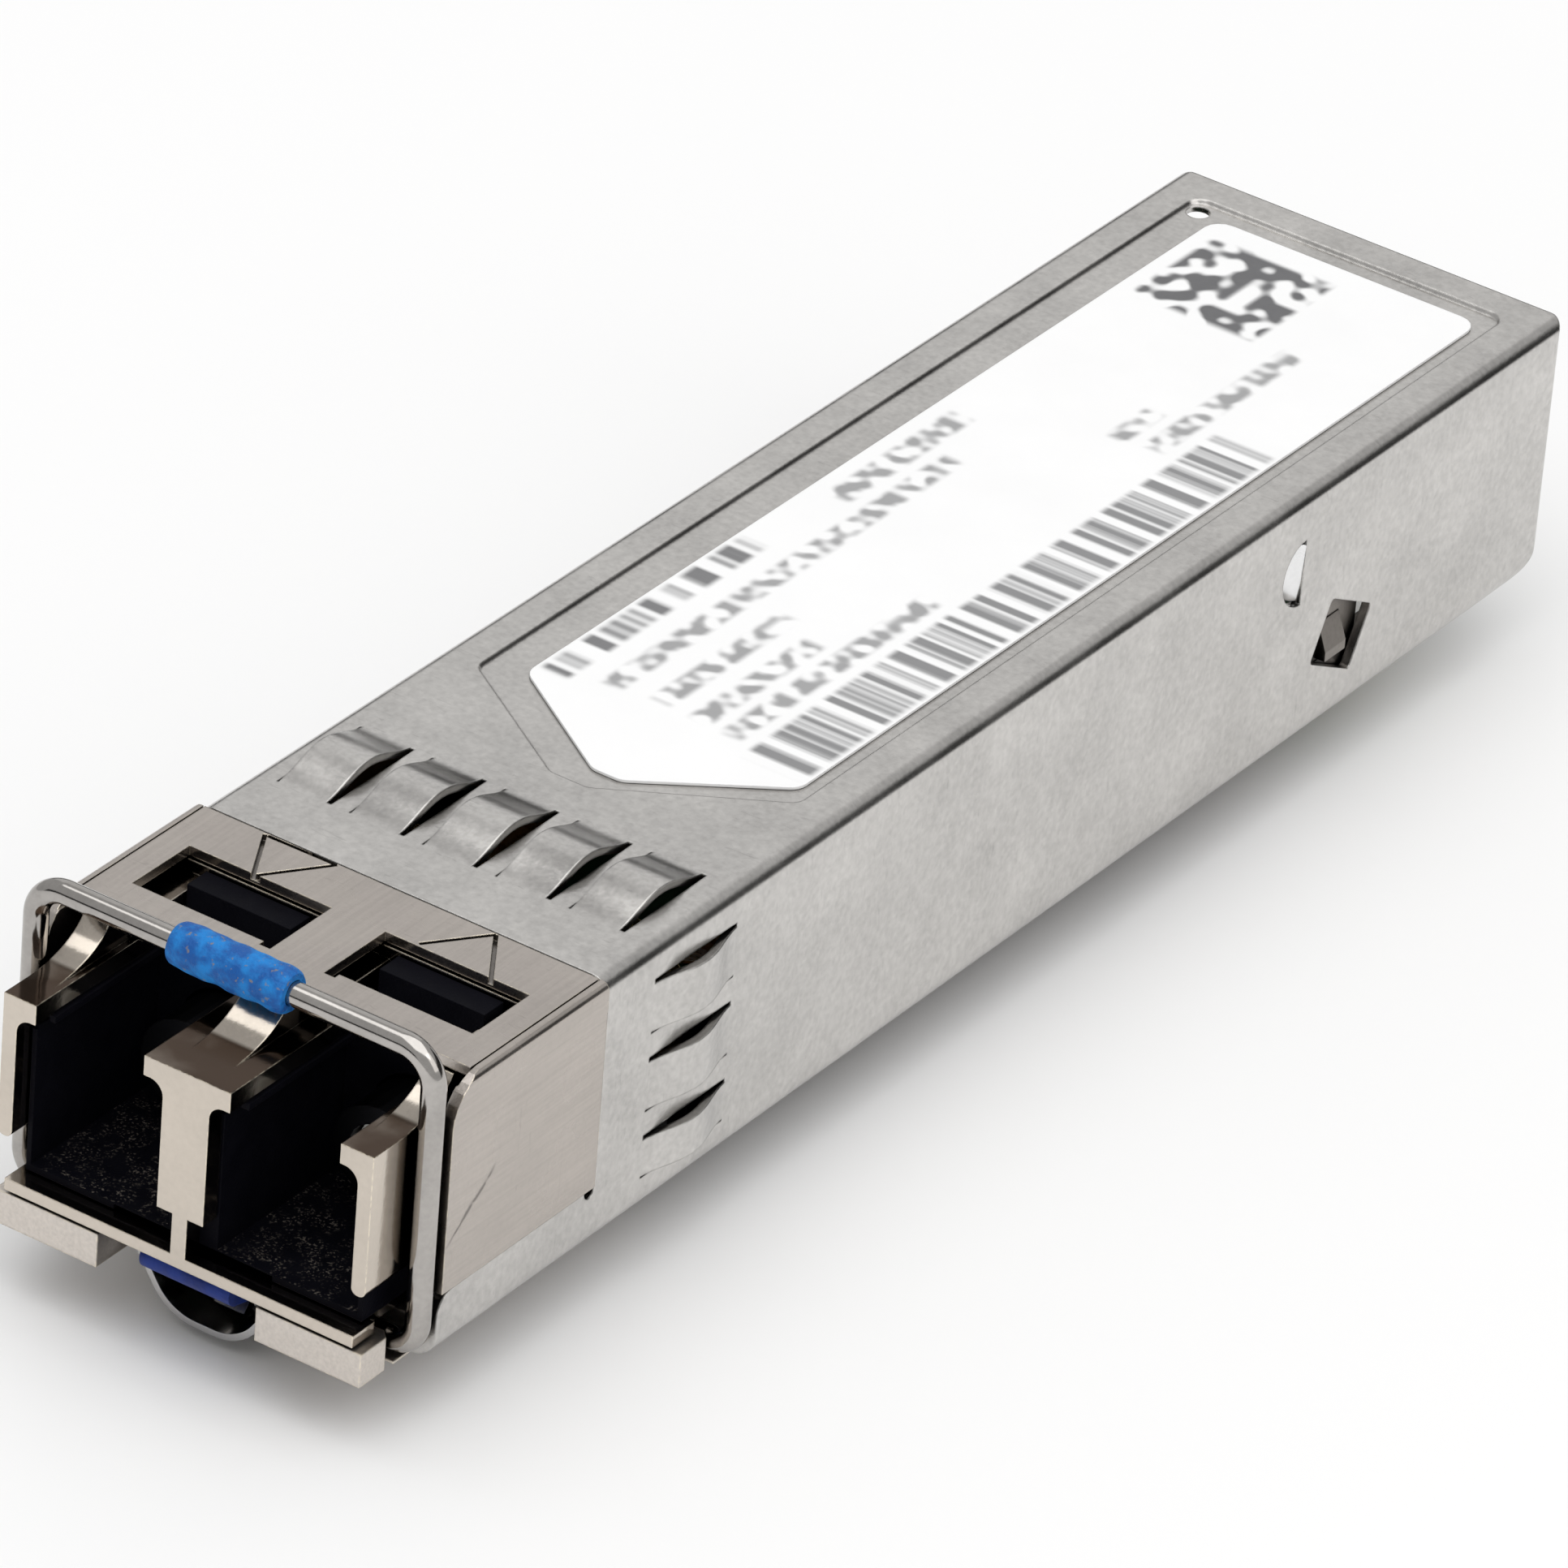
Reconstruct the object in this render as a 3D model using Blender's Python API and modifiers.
"""Optical transceiver module with two LC ports, a wire bail and a rocking latch lever.

Millimetres throughout, turned to metres where meshes are made. X is across the module,
Z is up from its flat underside, and depths are counted back from the front lip.
"""

import math

import bmesh
import bpy
from mathutils import Matrix, Vector

MM = 0.001

# Overall size of the plug-in module.
LENGTH = 56.5
HEIGHT = 8.5
SLEEVE_HALF = 6.7
NOSE_HALF = 6.8
SHEET = 0.3
GAP = 0.05
NOSE_DEPTH = 9.2

# Heights of the layers at the front.
BASE_TOP = 1.1
BAR_BOTTOM = 1.2
BAR_TOP = 1.55
HEAD_BOTTOM = 6.6
HEAD_TOP = 7.2
PLATE_UNDER = HEIGHT - SHEET

# Ports and the posts between them.
PORT_PITCH = 6.3
PORT_CENTRE_Z = 4.05
POST_HALF = 0.75
HEAD_HALF = 1.4
WALL_INNER = 5.55
WALL_OUTER = 6.0
KEY_OUTER = 4.95
BULKHEAD = 7.2
BARREL_RADIUS = 1.4

# Bail, cam and latch lever.
WIRE_RADIUS = 0.35
BAIL_DEPTH = 1.85
BAIL_Z = 0.6
BAIL_TOP = 9.6
BAIL_HALF = 6.45
GRIP_RADIUS = 0.68
GRIP_HALF = 1.9
CAM_HALF = 1.47
CUTOUT_HALF = 2.6
PIVOT_DEPTH = 6.6
PIVOT_Z = 0.68
PIN_RADIUS = 0.3
LEVER_SHEET = 0.2
BOSS_DEPTH = 11.5
BOSS_DROP = 0.45

# Circuit board and its edge contacts.
BOARD_BOTTOM = 2.25
BOARD_TOP = 3.25
BOARD_FRONT = 18.5
BOARD_END = 53.3
BOARD_HALF = 5.6
CARD_EDGE_HALF = 4.6
CONTACT_PITCH = 0.8
CONTACT_HALF = 0.28
CONTACTS_PER_SIDE = 10

# A length past any face, so that a cutter always runs right through.
FAR = 60


def clear_scene():
    for obj in list(bpy.data.objects):
        bpy.data.objects.remove(obj, do_unlink=True)


clear_scene()
parts = bpy.data.collections.new("optical_transceiver_module")
cutters = bpy.data.collections.new("cutters")
bpy.context.scene.collection.children.link(parts)
bpy.context.scene.collection.children.link(cutters)
cutters.hide_render = True


def depth(d):
    """Y of a point d millimetres behind the front lip; the module's middle is Y = 0."""
    return d - LENGTH / 2


def sides():
    return (("left", -1), ("right", 1))


def span(sign, inner, outer):
    """The X range between two distances from the centreline, on the side given by sign."""
    return tuple(sorted((sign * inner, sign * outer)))


def material(name, colour, metallic=0.0, roughness=0.5):
    mat = bpy.data.materials.new(name)
    mat.use_nodes = True
    shader = mat.node_tree.nodes["Principled BSDF"]
    shader.inputs["Base Color"].default_value = (*colour, 1)
    shader.inputs["Metallic"].default_value = metallic
    shader.inputs["Roughness"].default_value = roughness
    return mat


def add(name, data, mat=None):
    """A part when it has a material, otherwise a hidden helper for a Boolean."""
    obj = bpy.data.objects.new(name, data)
    (parts if mat else cutters).objects.link(obj)
    if mat:
        data.materials.append(mat)
    else:
        obj.hide_render = True
        obj.display_type = "WIRE"
    return obj


def add_bmesh(name, bm, mat):
    bm.normal_update()
    bmesh.ops.recalc_face_normals(bm, faces=bm.faces)
    mesh = bpy.data.meshes.new(name)
    bm.to_mesh(mesh)
    bm.free()
    return add(name, mesh, mat)


def box(name, x, y, z, mat=None):
    """A block from (low, high) pairs; y is counted back from the front lip."""
    low = Vector((x[0], depth(y[0]), z[0])) * MM
    high = Vector((x[1], depth(y[1]), z[1])) * MM
    bm = bmesh.new()
    bmesh.ops.create_cube(bm, size=1)
    for corner in bm.verts:
        corner.co = [high[i] if corner.co[i] > 0 else low[i] for i in range(3)]
    return add_bmesh(name, bm, mat)


PLACE = {
    "X": lambda a, b, level: Vector((level, depth(a), b)) * MM,
    "Y": lambda a, b, level: Vector((a, depth(level), b)) * MM,
    "Z": lambda a, b, level: Vector((a, depth(b), level)) * MM,
}


def prism(name, outline, axis, low, high, mat=None):
    """A flat outline pushed from low to high along an axis.

    Outline points are (depth, z) along X, (x, z) along Y and (x, depth) along Z.
    """
    bm = bmesh.new()
    rim = [bm.verts.new(PLACE[axis](a, b, low)) for a, b in outline]
    pushed = bmesh.ops.extrude_face_region(bm, geom=[bm.faces.new(rim)], use_keep_orig=True)
    moved = [part for part in pushed["geom"] if isinstance(part, bmesh.types.BMVert)]
    push = PLACE[axis](0, 0, high) - PLACE[axis](0, 0, low)
    bmesh.ops.translate(bm, vec=push, verts=moved)
    return add_bmesh(name, bm, mat)


def rod(name, axis, centre, radius, low, high, mat=None, steps=24):
    """A round bar along an axis; centre is given as in prism()."""
    bm = bmesh.new()
    bmesh.ops.create_cone(bm, cap_ends=True, segments=steps, radius1=radius, radius2=radius, depth=1)
    for corner in bm.verts:
        a, b, end = corner.co
        corner.co = PLACE[axis](centre[0] + a, centre[1] + b, high if end > 0 else low)
    for face in bm.faces:
        face.smooth = len(face.verts) == 4
    return add_bmesh(name, bm, mat)


def arc(centre, radius, start, end, steps=6):
    """Points on a circle, angles in degrees from the first axis of the outline."""
    points = []
    for i in range(steps + 1):
        angle = math.radians(start + (end - start) * i / steps)
        points.append((centre[0] + radius * math.cos(angle), centre[1] + radius * math.sin(angle)))
    return points


def rounded(corners, radius, steps=4):
    """The outline through the corners, each one rounded off."""
    outline = []
    for i, corner in enumerate(corners):
        here = Vector(corner)
        before = (Vector(corners[i - 1]) - here).normalized()
        after = (Vector(corners[(i + 1) % len(corners)]) - here).normalized()
        half = before.angle(after) / 2
        centre = here + (before + after).normalized() * radius / math.sin(half)
        first = here + before * radius / math.tan(half) - centre
        last = here + after * radius / math.tan(half) - centre
        turn = first.angle_signed(last)
        for k in range(steps + 1):
            spoke = Matrix.Rotation(-turn * k / steps, 2) @ first
            outline.append(tuple(centre + spoke))
    return outline


def turned(points, centre, degrees):
    spin = Matrix.Rotation(math.radians(degrees), 2)
    return [tuple(Vector(centre) + spin @ Vector(p)) for p in points]


def mirrored(outline):
    """The right half of an outline followed by its mirror image."""
    return outline + [(-x, z) for x, z in reversed(outline)]


def stroke(start, end, width):
    """The four corners of a narrow straight band between two points."""
    along = (Vector(end) - Vector(start)).normalized()
    beside = Vector((-along.y, along.x)) * width / 2
    return [tuple(Vector(start) + beside), tuple(Vector(start) - beside),
            tuple(Vector(end) - beside), tuple(Vector(end) + beside)]


def boolean(obj, other, operation):
    step = obj.modifiers.new(f"{operation.lower()}_{other.name}", "BOOLEAN")
    step.operation = operation
    step.object = other
    step.solver = "EXACT"


def cut(obj, *others):
    for other in others:
        boolean(obj, other, "DIFFERENCE")


def join(obj, *others):
    for other in others:
        boolean(obj, other, "UNION")


def bevel(obj, width, segments=1):
    step = obj.modifiers.new("edge_rounding", "BEVEL")
    step.width = width * MM
    step.segments = segments
    step.limit_method = "ANGLE"
    step.angle_limit = math.radians(30)


def put_origin(obj, point):
    """Moves the object's origin to a point without moving its shape."""
    world = Vector((point[0], depth(point[1]), point[2])) * MM
    obj.data.transform(Matrix.Translation(-world))
    obj.location = world


sleeve_steel = material("sleeve_steel", (0.62, 0.62, 0.60), 1.0, 0.32)
nose_nickel = material("nose_nickel", (0.62, 0.58, 0.53), 1.0, 0.30)
cast_zinc = material("cast_zinc", (0.55, 0.54, 0.52), 1.0, 0.4)
bright_wire = material("bright_wire", (0.75, 0.75, 0.76), 1.0, 0.12)
spring_steel = material("spring_steel", (0.6, 0.6, 0.6), 1.0, 0.25)
black_plastic = material("black_plastic", (0.012, 0.012, 0.013), 0.0, 0.4)
blue_rubber = material("blue_rubber", (0.03, 0.24, 0.72), 0.0, 0.45)
blue_plastic = material("blue_plastic", (0.02, 0.09, 0.42), 0.0, 0.35)
label_paper = material("label_paper", (0.88, 0.88, 0.88), 0.0, 0.5)
ceramic = material("ceramic", (0.85, 0.84, 0.8), 0.0, 0.2)
gold_plate = material("gold_plate", (0.9, 0.66, 0.25), 1.0, 0.25)
board_green = material("board_green", (0.02, 0.17, 0.06), 0.0, 0.4)
chip_black = material("chip_black", (0.02, 0.02, 0.02), 0.0, 0.5)
film_amber = material("film_amber", (0.5, 0.24, 0.04), 0.0, 0.35)
capacitor_tan = material("capacitor_tan", (0.42, 0.3, 0.18), 0.0, 0.5)


# ---------------------------------------------------------------- outer sleeve
BEND_RADIUS = 0.55
FOOT_RADIUS = 0.8
FOOT_END = 5.3
SKIRT_FRONT = 2.35
SKIRT_TOP = 2.05
SKIRT_CORNER = 0.7
OPEN_BOTTOM = 46.0
REAR_CORNER = 1.5
SPRING_START = 11.2
SPRING_END = 15.45
TOP_SPRINGS = 5
TOP_SPRING_PITCH = 2.4
TOP_SPRING_WIDTH = 1.6
TOP_SPRING_RISE = 0.5
SIDE_SPRINGS = 3
SIDE_SPRING_PITCH = 2.45
SIDE_SPRING_WIDTH = 1.5
SIDE_SPRING_RISE = 0.4
SIDE_SPRING_TOP = 7.35
SLIT = 0.2
HAIR = 0.06


def sheet_outline():
    """Outer then inner line of the folded sheet, from the right foot over to the left."""
    bend = (SLEEVE_HALF - BEND_RADIUS, HEIGHT - BEND_RADIUS)
    foot = (SLEEVE_HALF - FOOT_RADIUS, FOOT_RADIUS)
    outer = [(FOOT_END, 0)] + arc(foot, FOOT_RADIUS, -90, 0) + arc(bend, BEND_RADIUS, 0, 90)
    inner = [(FOOT_END, SHEET)] + arc(foot, FOOT_RADIUS - SHEET, -90, 0)
    inner += arc(bend, BEND_RADIUS - SHEET, 0, 90)
    return mirrored(outer) + mirrored(inner)[::-1]


def arched_strip(surface, rise, steps=12):
    """(depth, height) outline of one raised grounding spring, bowed above the sheet."""
    middle = (SPRING_START + SPRING_END) / 2
    half = (SPRING_END - SPRING_START) / 2
    upper = []
    for i in range(steps + 1):
        along = -1 + 2 * i / steps
        lift = rise * (1 + math.cos(math.pi * along)) / 2
        upper.append((middle + half * along, surface - 0.01 + lift))
    return upper + [(at, height - 0.8 * SHEET) for at, height in reversed(upper)]


sleeve = prism("outer_sleeve", sheet_outline(), "Y", SKIRT_FRONT, LENGTH, sleeve_steel)
cut(sleeve, box("front_clearance", (-8, 8), (0, NOSE_DEPTH), (SKIRT_TOP, 10)))
cut(sleeve, box("rear_floor_opening", (-6.0, 6.0), (OPEN_BOTTOM, FAR), (-1, 0.9)))
for side, sign in sides():
    relief = (NOSE_DEPTH - 0.15, SKIRT_TOP - 0.05)
    cut(sleeve, rod(f"fold_relief_{side}", "X", relief, 0.22, *span(sign, 6.0, 7.2), steps=12))
    front_corner = [(1.5, 1.0), (SKIRT_FRONT, 1.0)]
    front_corner += arc((SKIRT_FRONT + SKIRT_CORNER, SKIRT_TOP - SKIRT_CORNER), SKIRT_CORNER, 180, 90, 5)
    front_corner += [(SKIRT_FRONT + SKIRT_CORNER, 2.6), (1.5, 2.6)]
    cut(sleeve, prism(f"skirt_corner_{side}", front_corner, "X", *span(sign, 6.0, 7.2)))
    rear_corner = arc((LENGTH - REAR_CORNER, 1.9), REAR_CORNER, -90, 0)
    rear_corner += [(58, 1.9), (58, -1), (OPEN_BOTTOM, -1), (OPEN_BOTTOM, 0.0)]
    cut(sleeve, prism(f"rear_corner_{side}", rear_corner, "X", *span(sign, 5.9, 7.2)))

# Grounding springs: a window is cut round each strip and the strip is bowed out of it.
spring_window = (SPRING_START + 0.25, SPRING_END - 0.25)
for i in range(TOP_SPRINGS):
    right = 0.67 + (i - 2) * TOP_SPRING_PITCH
    left = right - TOP_SPRING_WIDTH
    window = box(f"top_spring_window_{i}", (left - HAIR, right + SLIT), spring_window, (7.9, 9.0))
    strip = prism(f"top_spring_{i}", arched_strip(HEIGHT, TOP_SPRING_RISE), "X", left, right)
    cut(sleeve, window)
    join(sleeve, strip)
for side, sign in sides():
    outline = [(sign * height, at) for at, height in arched_strip(SLEEVE_HALF, SIDE_SPRING_RISE)]
    for i in range(SIDE_SPRINGS):
        top = SIDE_SPRING_TOP - i * SIDE_SPRING_PITCH
        shorter = 0.35 if i == SIDE_SPRINGS - 1 else 0
        bottom = top - SIDE_SPRING_WIDTH + shorter
        window = box(f"side_spring_window_{side}_{i}", span(sign, 6.2, 7.2), spring_window,
                     (bottom - HAIR, top + SLIT))
        cut(sleeve, window)
        join(sleeve, prism(f"side_spring_{side}_{i}", outline, "Z", bottom, top))

# Shallow pocket for the label, with its front end cut back at both corners.
POCKET_HALF = 5.27
POCKET_REAR = 55.3
POCKET_SHOULDER = 19.9
POCKET_FRONT = 16.8
POCKET_FLOOR = HEIGHT - 0.12
pocket = mirrored([(POCKET_HALF, POCKET_REAR), (POCKET_HALF, POCKET_SHOULDER), (0.6, POCKET_FRONT)])
cut(sleeve, prism("label_pocket", rounded(pocket, 0.45), "Z", POCKET_FLOOR, 9))
cut(sleeve, rod("corner_hole", "Z", (-4.86, 54.75), 0.36, 7, 9, steps=16))

# Snap window, turned a little in the side wall, and the lanced half-round tab ahead of it.
WINDOW_CENTRE = (45.45, 2.9)
WINDOW_HALF = (1.25, 1.0)
WINDOW_TURN = -27
TAB_CENTRE = (43.0, 6.0)
TAB_RADIUS = 1.05
TAB_TURN = -24
window_corners = [(-WINDOW_HALF[0], -WINDOW_HALF[1]), (WINDOW_HALF[0], -WINDOW_HALF[1]),
                  (WINDOW_HALF[0], WINDOW_HALF[1]), (-WINDOW_HALF[0], WINDOW_HALF[1])]
window_outline = turned(rounded(window_corners, 0.15, 2), WINDOW_CENTRE, WINDOW_TURN)
for side, sign in sides():
    cut(sleeve, prism(f"snap_window_{side}", window_outline, "X", *span(sign, 6.1, 7.2)))
    half_round = arc(TAB_CENTRE, TAB_RADIUS, 90, 270, 10)
    cut(sleeve, prism(f"tab_opening_{side}", half_round, "X", *span(sign, 6.2, 7.2)))
    tab = arc((0, 0), TAB_RADIUS - HAIR, 100, 260, 10) + [(0.35, -0.9), (0.35, 0.9)]
    leaf = prism(f"tab_{side}", tab, "X", -SHEET * 0.4, SHEET * 0.4)
    put_origin(leaf, (0, 0, 0))
    leaf.location = Vector((sign * (SLEEVE_HALF - 0.16), depth(TAB_CENTRE[0]), TAB_CENTRE[1])) * MM
    leaf.rotation_euler = (0, 0, sign * math.radians(TAB_TURN))
    join(sleeve, leaf)


# ---------------------------------------------------------------- label
label_corners = [(-4.15, 54.6), (-4.15, 20.55), (0.1, 17.66), (1.05, 17.66), (4.9, 20.55), (4.9, 54.6)]
label_heights = (POCKET_FLOOR + 0.01, POCKET_FLOOR + 0.09)
prism("label", rounded(label_corners, 0.6), "Z", *label_heights, label_paper)


# ---------------------------------------------------------------- lower castings
BASE_SPLIT = 14.0
FLOOR_TOP = 0.9
FLOOR_HALF = FOOT_END - GAP
FLOOR_LOW = SHEET + GAP
SIDE_WALL = 5.7

nose_base = box("nose_base", (-WALL_OUTER, WALL_OUTER), (0, BASE_SPLIT), (0.08, BASE_TOP), cast_zinc)
cut(nose_base, box("latch_slot", (-CUTOUT_HALF, CUTOUT_HALF), (-1, 13.3), (-1, 2)))
cut(nose_base, box("wire_channel", (-7, 7), (1.35, 2.4), (0.15, 2)))
for side, sign in sides():
    skirt_depths = (SKIRT_FRONT - 0.1, 20)
    skirt_step = box(f"skirt_step_{side}", span(sign, FLOOR_HALF, 7), skirt_depths, (-1, FLOOR_LOW))
    bend_relief = [(sign * 5.6, 1.5), (sign * 6.2, 0.9), (sign * 6.2, 1.5)]
    cut(nose_base, skirt_step, prism(f"bend_relief_{side}", bend_relief, "Z", -1, 2))
cut(nose_base, rod("pin_bore", "X", (PIVOT_DEPTH, PIVOT_Z), PIN_RADIUS + 0.02, -3.6, 3.6, steps=16))

base_depths = (BASE_SPLIT + GAP, 55.2)
base = box("base_housing", (-6.3, 6.3), base_depths, (FLOOR_LOW, 2.1), cast_zinc)
cut(base, box("board_bay", (-SIDE_WALL, SIDE_WALL), (BASE_SPLIT - 1, FAR), (FLOOR_TOP, 3)))
join(base, box("flush_floor", (-FLOOR_HALF, FLOOR_HALF), (BASE_SPLIT + 0.3, OPEN_BOTTOM + 2), (0, 0.6)))
cut(base, box("rear_bay", (-SIDE_WALL, SIDE_WALL), (OPEN_BOTTOM, FAR), (-1, 3)))
for side, sign in sides():
    clearance = [(5.5, -0.2), (7.0, -0.2), (7.0, 1.0), (6.3, 1.0), (6.1, 0.62)]
    clearance += [(5.7, FLOOR_LOW), (5.5, FLOOR_LOW)]
    clearance = [(sign * x, z) for x, z in clearance]
    cut(base, prism(f"foot_clearance_{side}", clearance, "Y", 13, FAR))
    for k, at in enumerate((24.0, 42.0)):
        post_heights = (0.7, BOARD_BOTTOM - GAP)
        join(base, box(f"board_post_{side}_{k}", span(sign, 4.2, 5.9), (at, at + 2), post_heights))
    tooth = [(6.2, 3.35), (6.3, 3.35), (6.62, 2.5), (6.62, 2.2), (6.2, 2.2)]
    tooth = [(sign * x, z) for x, z in tooth]
    join(base, box(f"snap_post_{side}", span(sign, 5.75, 6.27), (43.9, 46.9), (0.75, 3.9)))
    join(base, prism(f"snap_tooth_{side}", tooth, "Y", 44.85, 45.9))
    rear_slope = [(54.2, 0.2), (56, 0.2), (56, 2.0)]
    cut(base, prism(f"rear_slope_{side}", rear_slope, "X", *span(sign, 5, 7)))


# ---------------------------------------------------------------- nose frame
RAMP_RADIUS = 1.3
RAMP_FOOT = 2.15
RAMP_HALF = 0.7
RAMP_REAR = 4.6
FRAME_END = 11.0
FRAME_HALF = 6.05
FRAME_TOP = PLATE_UNDER - GAP
PLATE_FRONT = RAMP_FOOT + RAMP_RADIUS
FILLET = 0.45
NECK_HALF = 0.24
NECK_TOP = 2.8


def post_outline():
    """Centre post: wide head, filleted shoulders, shaft, then a thin neck to the bar."""
    half = [(HEAD_HALF, HEAD_TOP), (HEAD_HALF, HEAD_BOTTOM)]
    half += arc((POST_HALF + FILLET, HEAD_BOTTOM - FILLET), FILLET, 90, 180, 4)
    half += [(POST_HALF, NECK_TOP), (NECK_HALF, NECK_TOP), (NECK_HALF, BAR_BOTTOM)]
    return mirrored(half)


def side_post_outline(sign):
    """Half of the same head against the side wall, rounded off above the bar."""
    foot_z = 3.05
    points = [(WALL_OUTER, HEAD_TOP), (KEY_OUTER, HEAD_TOP), (KEY_OUTER, HEAD_BOTTOM)]
    points += arc((WALL_INNER - FILLET, HEAD_BOTTOM - FILLET), FILLET, 90, 0, 4)
    points += arc((WALL_INNER + 0.2, foot_z), 0.2, 180, 270, 3)
    points += arc((WALL_OUTER - 0.2, foot_z), 0.2, 270, 360, 3)
    return [(sign * x, z) for x, z in points]


def ramp_outline():
    """Block under the top plate whose front is a hollow quarter round."""
    last = -math.degrees(math.asin((HEIGHT - FRAME_TOP) / RAMP_RADIUS))
    hollow = arc((RAMP_FOOT, HEIGHT), RAMP_RADIUS, -90, last, 9)
    return hollow + [(RAMP_REAR, FRAME_TOP), (RAMP_REAR, HEAD_TOP - 0.2), (RAMP_FOOT, HEAD_TOP - 0.2)]


frame_depths = (BULKHEAD, FRAME_END)
frame = box("nose_frame", (-FRAME_HALF, FRAME_HALF), frame_depths, (BASE_TOP + GAP, FRAME_TOP), nose_nickel)
for name, sign in (("tosa", -1), ("rosa", 1)):
    centre = (sign * PORT_PITCH / 2, PORT_CENTRE_Z)
    cut(frame, rod(f"{name}_hole", "Y", centre, BARREL_RADIUS + GAP, 5, 12))
    cut(frame, rod(f"{name}_seat", "Y", centre, 2.15, 9.55, 12))
behind_bulkhead = BULKHEAD + 0.4
join(frame, prism("centre_post", post_outline(), "Y", 0, 0.6))
join(frame, box("centre_rail", (-HEAD_HALF, HEAD_HALF), (0.3, behind_bulkhead), (HEAD_BOTTOM, HEAD_TOP)))
join(frame, box("bottom_bar", (-SIDE_WALL, SIDE_WALL), (0, 0.95), (BAR_BOTTOM, BAR_TOP)))
join(frame, prism("centre_ramp", ramp_outline(), "X", -RAMP_HALF, RAMP_HALF))
for side, sign in sides():
    join(frame, prism(f"side_wall_{side}", side_post_outline(sign), "Y", 0, behind_bulkhead))
    join(frame, prism(f"side_ramp_{side}", ramp_outline(), "X", *span(sign, 5.15, WALL_OUTER)))
join(frame, box("frame_floor", (-5.4, 5.4), (0.5, behind_bulkhead), (BAR_BOTTOM + 0.02, 1.5)))
cut(frame, box("cam_clearance", (-CUTOUT_HALF, CUTOUT_HALF), (0.95, 3.2), (0, 1.7)))
cut(frame, box("lever_clearance", (-CUTOUT_HALF, CUTOUT_HALF), (5, 12), (0, 1.65)))


# ---------------------------------------------------------------- nose sheet metal
OPENING_FRONT = 4.8
OPENING_REAR = 7.3
OPENING_INNER = 0.88
OPENING_OUTER = 5.55
TOP_PLATE_HALF = 6.45
PLATE_REAR = NOSE_DEPTH - GAP
SCORE_WIDTH = 0.13
SCORE_FLOOR = HEIGHT - 0.2
SIDE_PLATE_FRONT = 2.35
PLATE_CORNER = 1.3
EDGE_RADIUS = 0.25

top_plate = box("nose_top_plate", (-TOP_PLATE_HALF, TOP_PLATE_HALF), (PLATE_FRONT, PLATE_REAR),
                (PLATE_UNDER, HEIGHT), nose_nickel)
for side, sign in sides():
    opening = box(f"port_opening_{side}", span(sign, OPENING_INNER, OPENING_OUTER),
                  (OPENING_FRONT, OPENING_REAR), (7, 9))
    step = box(f"opening_step_{side}", span(sign, OPENING_INNER, OPENING_INNER + 0.35),
               (OPENING_FRONT - 0.2, OPENING_REAR), (7, 9))
    cut(top_plate, opening, step)

# Two scored triangles between the openings and the sleeve's edge.
score_lines = (
    ((-4.40, 9.08), (-3.39, 7.2)),
    ((-3.39, 7.2), (-2.05, 9.1)),
    ((-4.30, 9.06), (-2.05, 9.1)),
    ((1.90, 7.4), (3.15, 9.1)),
    ((3.15, 9.1), (4.37, 7.2)),
)
for i, (start, end) in enumerate(score_lines):
    groove = stroke(start, end, SCORE_WIDTH)
    cut(top_plate, prism(f"score_line_{i}", groove, "Z", SCORE_FLOOR, 9))

for side, sign in sides():
    edge = [(6.5, PLATE_UNDER), (6.5, HEIGHT)]
    edge += arc((NOSE_HALF - EDGE_RADIUS, HEIGHT - EDGE_RADIUS), EDGE_RADIUS, 90, 0, 4)
    edge += [(NOSE_HALF, SKIRT_TOP + 0.1), (6.45, SKIRT_TOP + 0.1), (6.45, PLATE_UNDER)]
    edge = [(sign * x, z) for x, z in edge]
    plate = prism(f"nose_side_plate_{side}", edge, "Y", SIDE_PLATE_FRONT, PLATE_REAR, nose_nickel)
    corner = arc((SIDE_PLATE_FRONT + PLATE_CORNER, HEIGHT - PLATE_CORNER), PLATE_CORNER, 180, 90)
    corner += [(1, 9), (1, 7)]
    cut(plate, prism(f"plate_corner_{side}", corner, "X", *span(sign, 6, 7.5)))


# ---------------------------------------------------------------- port insert
PORT_BACK = 6.0
PORT_TOP = 6.35
PORT_FLOOR = 1.8
PORT_OUTER = 5.35
KEYWAY_BACK = 6.3

insert_depths = (0.65, BULKHEAD - GAP)
insert = box("lc_receptacle", (-5.5, 5.5), insert_depths, (BAR_TOP + GAP, HEAD_BOTTOM - GAP), black_plastic)
join(insert, box("insert_back", (-4.85, 4.85), (KEYWAY_BACK, BULKHEAD - GAP), (6.0, 8.05)))
cut(insert, box("rail_clearance", (-HEAD_HALF - GAP, HEAD_HALF + GAP), (0, 8), (HEAD_BOTTOM - GAP, 9)))
for side, sign in sides():
    port_heights = (PORT_FLOOR, PORT_TOP)
    port = box(f"port_{side}", span(sign, POST_HALF + GAP, PORT_OUTER), (0, PORT_BACK), port_heights)
    keyway = box(f"keyway_{side}", span(sign, HEAD_HALF + 0.08, KEY_OUTER - 0.1), (0, KEYWAY_BACK), (6.2, 9))
    wall_fillet = box(f"wall_fillet_clearance_{side}", span(sign, 5.05, 6), (0, 8), (6.1, 7))
    head_fillet = box(f"head_fillet_clearance_{side}", span(sign, 0.4, 6), (0, 0.75), (6.0, 7))
    hole = rod(f"barrel_hole_{side}", "Y", (sign * PORT_PITCH / 2, PORT_CENTRE_Z), BARREL_RADIUS + 0.1, 5, 8)
    cut(insert, port, keyway, wall_fillet, head_fillet, hole)
cut(insert, box("cam_bay", (-CUTOUT_HALF, CUTOUT_HALF), (0, 3.2), (1, 1.75)))


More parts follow.
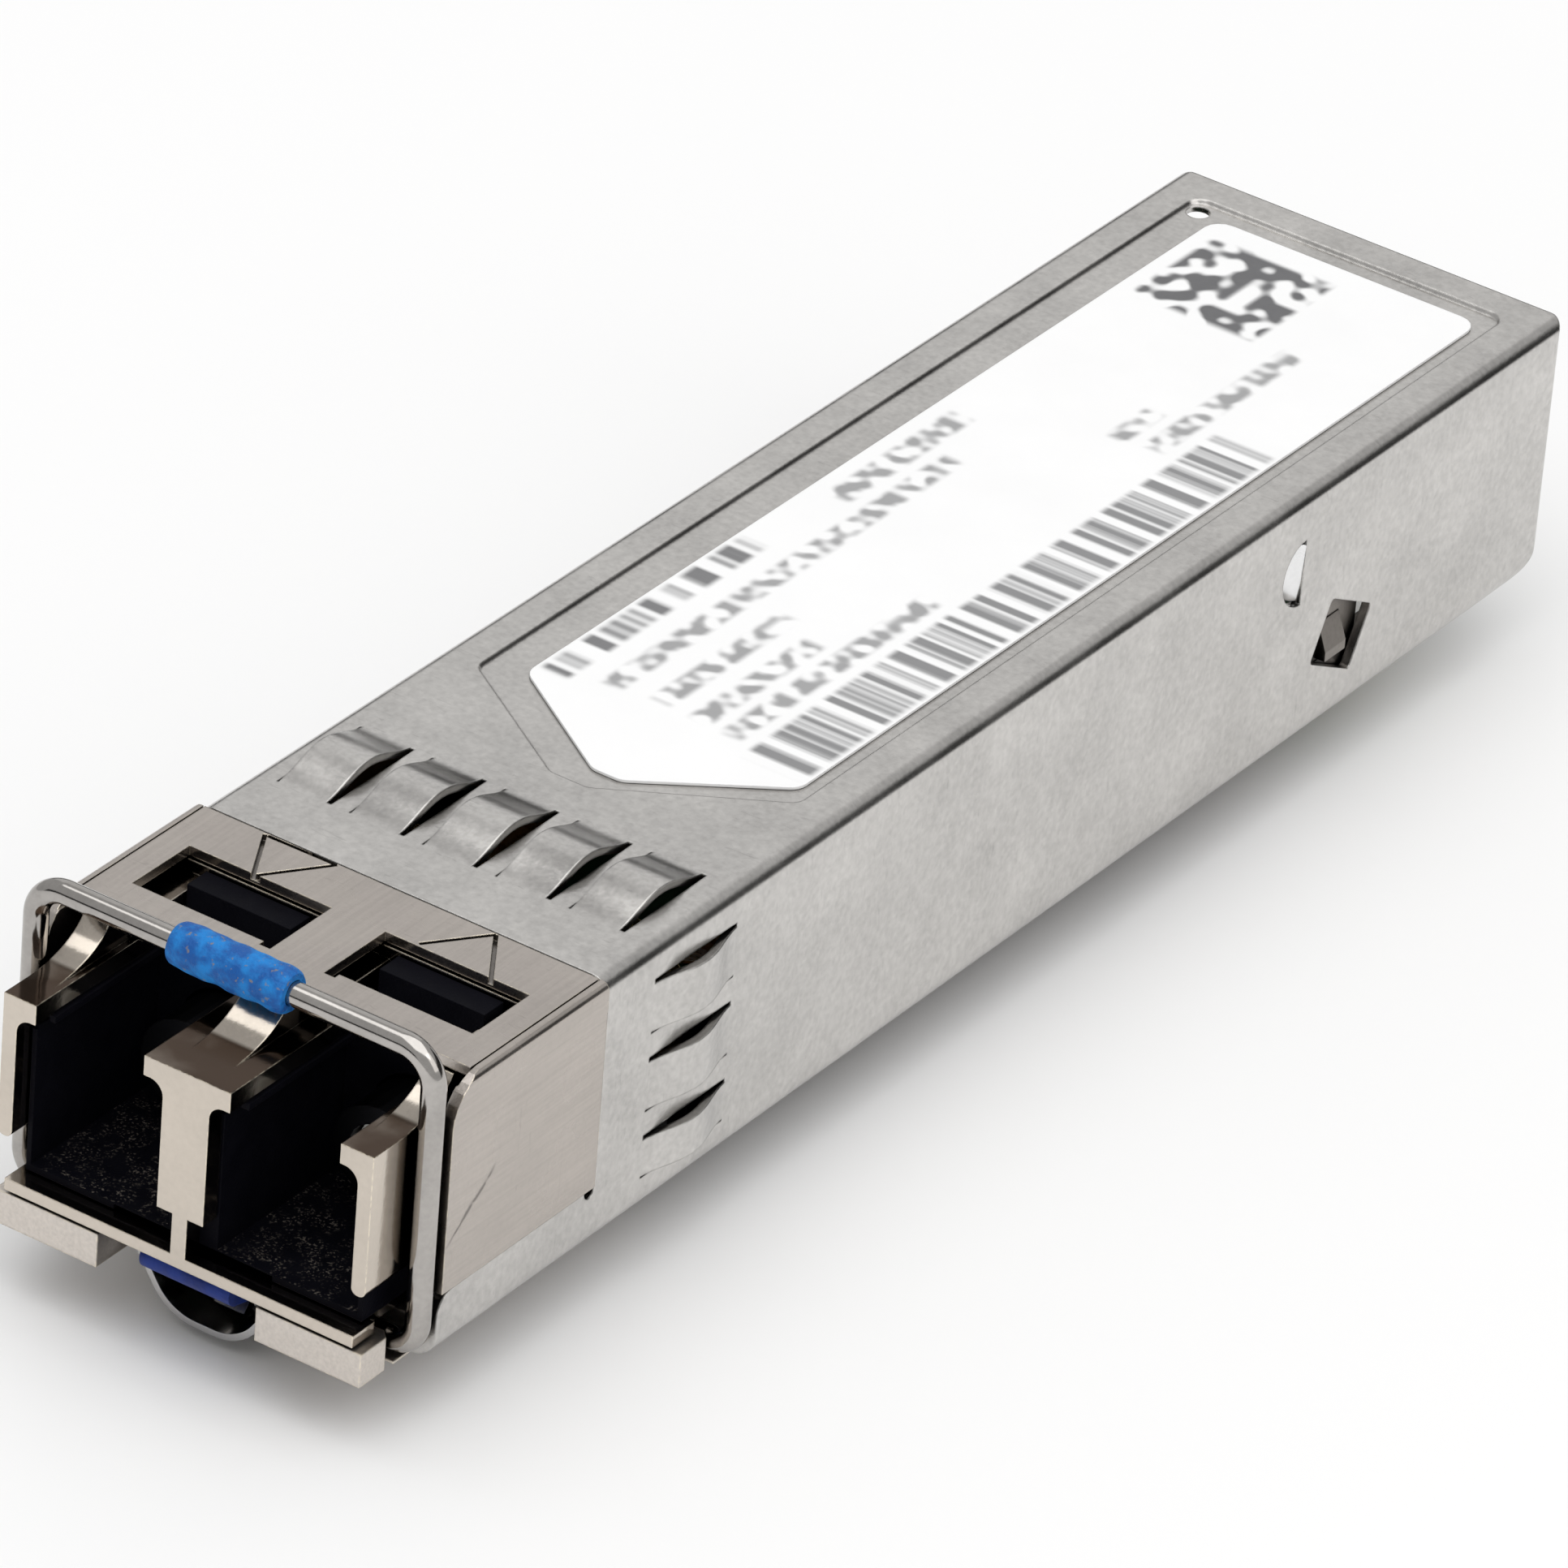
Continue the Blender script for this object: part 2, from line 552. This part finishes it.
# ---------------------------------------------------------------- bail, grip and cam
WIRE_BEND_LOW = 0.8
WIRE_BEND_HIGH = 1.0


def wire_loop(name, mat):
    """A closed rounded rectangle of round wire standing in the XZ plane."""
    low_corner = (BAIL_HALF - WIRE_BEND_LOW, BAIL_Z + WIRE_BEND_LOW)
    high_corner = (BAIL_HALF - WIRE_BEND_HIGH, BAIL_TOP - WIRE_BEND_HIGH)
    half = arc(low_corner, WIRE_BEND_LOW, -90, 0, 5) + arc(high_corner, WIRE_BEND_HIGH, 0, 90, 5)
    points = mirrored(half)
    curve = bpy.data.curves.new(name, "CURVE")
    curve.dimensions = "3D"
    curve.bevel_depth = WIRE_RADIUS * MM
    curve.bevel_resolution = 2
    spline = curve.splines.new("POLY")
    spline.points.add(len(points) - 1)
    spline.use_cyclic_u = True
    for point, (x, z) in zip(spline.points, points):
        point.co = (x * MM, 0, (z - BAIL_Z) * MM, 1)
    obj = add(name, curve, mat)
    obj.location = Vector((0, depth(BAIL_DEPTH), BAIL_Z)) * MM
    return obj


def cam_outline():
    """Round hub on the wire with a lobe that points forward and swings down."""
    hub = arc((BAIL_DEPTH, BAIL_Z), 0.58, -80, 95, 10)
    lobe = arc((0.65, BAIL_Z + 0.12), 0.3, 90, 180, 4) + arc((0.75, BAIL_Z + 0.1), 0.4, 180, 270, 4)
    return hub + lobe


bail_axis = (0, BAIL_DEPTH, BAIL_Z)
wire_loop("bail_wire", bright_wire)
grip_centre = (BAIL_DEPTH, BAIL_TOP)
grip = rod("bail_grip", "X", grip_centre, GRIP_RADIUS, -GRIP_HALF, GRIP_HALF, blue_rubber)
cut(grip, rod("grip_bore", "X", grip_centre, WIRE_RADIUS + 0.02, -3, 3, steps=16))
put_origin(grip, bail_axis)
cam = prism("latch_cam", cam_outline(), "X", -CAM_HALF, CAM_HALF, blue_plastic)
cut(cam, rod("cam_bore", "X", (BAIL_DEPTH, BAIL_Z), WIRE_RADIUS + 0.02, -3, 3, steps=16))
put_origin(cam, bail_axis)


# ---------------------------------------------------------------- latch lever, pin and spring
TROUGH_FRONT = 1.35
TROUGH_LOW = -1.49
TROUGH_FLAT = 0.95
LEVER_HALF = 2.1
EAR_RADIUS = 0.62


def trough_outline():
    """Bent sheet in the XZ plane: two sloping arms and a flat bottom."""
    bend = (TROUGH_FLAT, TROUGH_LOW + 0.5)
    outer = mirrored([(2.35, LEVER_SHEET)] + arc(bend, 0.5, -37, -90, 3))
    inner = mirrored([(2.03, LEVER_SHEET)] + arc(bend, 0.25, -37, -90, 3))
    return outer + inner[::-1]


lever = box("latch_lever", (-LEVER_HALF, LEVER_HALF), (2.6, 12.7), (0, LEVER_SHEET), spring_steel)
scoop = [(2.3, TROUGH_LOW + 0.02), (2.65, TROUGH_LOW + 0.02), (4.0, 0.05), (3.65, 0.15)]
boss = [(BOSS_DEPTH, 0.1), (BOSS_DEPTH, -BOSS_DROP), (BOSS_DEPTH + 0.3, -BOSS_DROP), (BOSS_DEPTH + 1.15, 0.1)]
join(lever, prism("trough", trough_outline(), "Y", TROUGH_FRONT, 3.0))
join(lever, prism("scoop", scoop, "X", -TROUGH_FLAT, TROUGH_FLAT))
join(lever, box("shoulder", (-2.32, 2.32), (2.5, 3.4), (0, LEVER_SHEET)))
join(lever, prism("latch_boss", boss, "X", -1.3, 1.3))
for side, sign in sides():
    ear = [(PIVOT_DEPTH - EAR_RADIUS, 0.1)] + arc((PIVOT_DEPTH, PIVOT_Z), EAR_RADIUS, 180, 0, 8)
    ear += [(PIVOT_DEPTH + EAR_RADIUS, 0.1)]
    join(lever, prism(f"ear_{side}", ear, "X", *span(sign, 1.8, LEVER_HALF)))
cut(lever, rod("ear_bore", "X", (PIVOT_DEPTH, PIVOT_Z), PIN_RADIUS + GAP, -3, 3, steps=16))
put_origin(lever, (0, PIVOT_DEPTH, PIVOT_Z))

rod("lever_pivot_pin", "X", (PIVOT_DEPTH, PIVOT_Z), PIN_RADIUS, -3.5, 3.5, spring_steel, steps=16)

LEAF_SHEET = 0.09
spring_top = [(8.0, 1.55), (9.0, 1.45), (11.6, 0.45)]
spring_back = [(at, z - LEAF_SHEET) for at, z in reversed(spring_top)]
prism("latch_return_spring", spring_top + spring_back, "X", -0.9, 0.9, spring_steel)


# ---------------------------------------------------------------- optical subassemblies
CAN_RADIUS = 2.3
FLANGE_RADIUS = 2.6
FERRULE_RADIUS = 0.63
CAN_REAR = 15.2
FLEX_SHEET = 0.1


def turned_part(name, x, steps_along, bore, mat, segments=24):
    """A solid of revolution along the module, from (depth, radius) steps and one bore."""
    start = steps_along[0][0]
    profile = [(radius, at) for at, radius in steps_along] + [(bore, steps_along[-1][0]), (bore, start)]
    bm = bmesh.new()
    rim = [bm.verts.new(Vector((radius, 0, start - at)) * MM) for radius, at in profile]
    for i, here in enumerate(rim):
        bm.edges.new((here, rim[(i + 1) % len(rim)]))
    mesh = bpy.data.meshes.new(name)
    bm.to_mesh(mesh)
    bm.free()
    obj = add(name, mesh, mat)
    obj.location = Vector((x, depth(start), PORT_CENTRE_Z)) * MM
    obj.rotation_euler = (math.radians(90), 0, 0)
    screw = obj.modifiers.new("turning", "SCREW")
    screw.steps = segments
    screw.render_steps = segments
    screw.use_smooth_shade = True
    return obj


for name, sign in (("tosa", -1), ("rosa", 1)):
    x = sign * PORT_PITCH / 2
    centre = (x, PORT_CENTRE_Z)
    barrel = [(4.2, BARREL_RADIUS), (9.6, BARREL_RADIUS), (9.6, 2.1), (10.9, 2.1)]
    turned_part(f"{name}_barrel", x, barrel, 0.85, spring_steel)
    turned_part(f"{name}_ferrule_sleeve", x, [(4.6, 0.8), (10.6, 0.8)], FERRULE_RADIUS, ceramic, 20)
    can = rod(f"{name}_can", "Y", centre, CAN_RADIUS, 11.05, CAN_REAR, gold_plate)
    join(can, rod(f"{name}_can_flange", "Y", centre, FLANGE_RADIUS, 13.9, 14.5))
    strip = [(15.25, 5.0), (16.0, 5.0), (19.0, BOARD_TOP + 0.15), (23.5, BOARD_TOP + 0.15)]
    strip += [(at, z - FLEX_SHEET) for at, z in reversed(strip)]
    prism(f"{name}_flex", strip, "X", x - 1.3, x + 1.3, film_amber)

holder = box("osa_holder", (-5.95, 5.95), (11.3, 13.7), (1.4, 3.7), black_plastic)
for name, sign in (("tosa", -1), ("rosa", 1)):
    centre = (sign * PORT_PITCH / 2, PORT_CENTRE_Z)
    cut(holder, rod(f"{name}_cradle", "Y", centre, CAN_RADIUS + GAP, 10, 15))


# ---------------------------------------------------------------- circuit board
SOLDER = 0.02
board = [(BOARD_HALF, BOARD_FRONT), (BOARD_HALF, 43.0), (CARD_EDGE_HALF, 44.0), (CARD_EDGE_HALF, BOARD_END)]
board = mirrored(board)
prism("circuit_board", board, "Z", BOARD_BOTTOM, BOARD_TOP, board_green)
chips = (
    ("laser_driver_chip", -2.6, 26.5, 4.0, 0.9),
    ("post_amplifier_chip", 2.8, 26.5, 3.0, 0.9),
    ("controller_chip", 0.0, 36.0, 5.0, 1.0),
)
for name, x, at, size, tall in chips:
    half = size / 2
    heights = (BOARD_TOP + SOLDER, BOARD_TOP + tall)
    bevel(box(name, (x - half, x + half), (at - half, at + half), heights, chip_black), 0.08)
for i in range(4):
    x = -3.9 + i * 2.6
    heights = (BOARD_TOP + SOLDER, BOARD_TOP + 0.6)
    bevel(box(f"capacitor_{i + 1}", (x - 0.3, x + 0.3), (30.6, 31.8), heights, capacitor_tan), 0.05)
for i in range(CONTACTS_PER_SIDE):
    x = (i - (CONTACTS_PER_SIDE - 1) / 2) * CONTACT_PITCH
    width = (x - CONTACT_HALF, x + CONTACT_HALF)
    reach = (48.6 if i % 3 == 0 else 49.2, BOARD_END - 0.3)
    above = (BOARD_TOP + 0.01, BOARD_TOP + 0.05)
    below = (BOARD_BOTTOM - 0.05, BOARD_BOTTOM - 0.01)
    box(f"edge_contact_top_{i + 1:02d}", width, reach, above, gold_plate)
    box(f"edge_contact_bottom_{i + 1:02d}", width, reach, below, gold_plate)
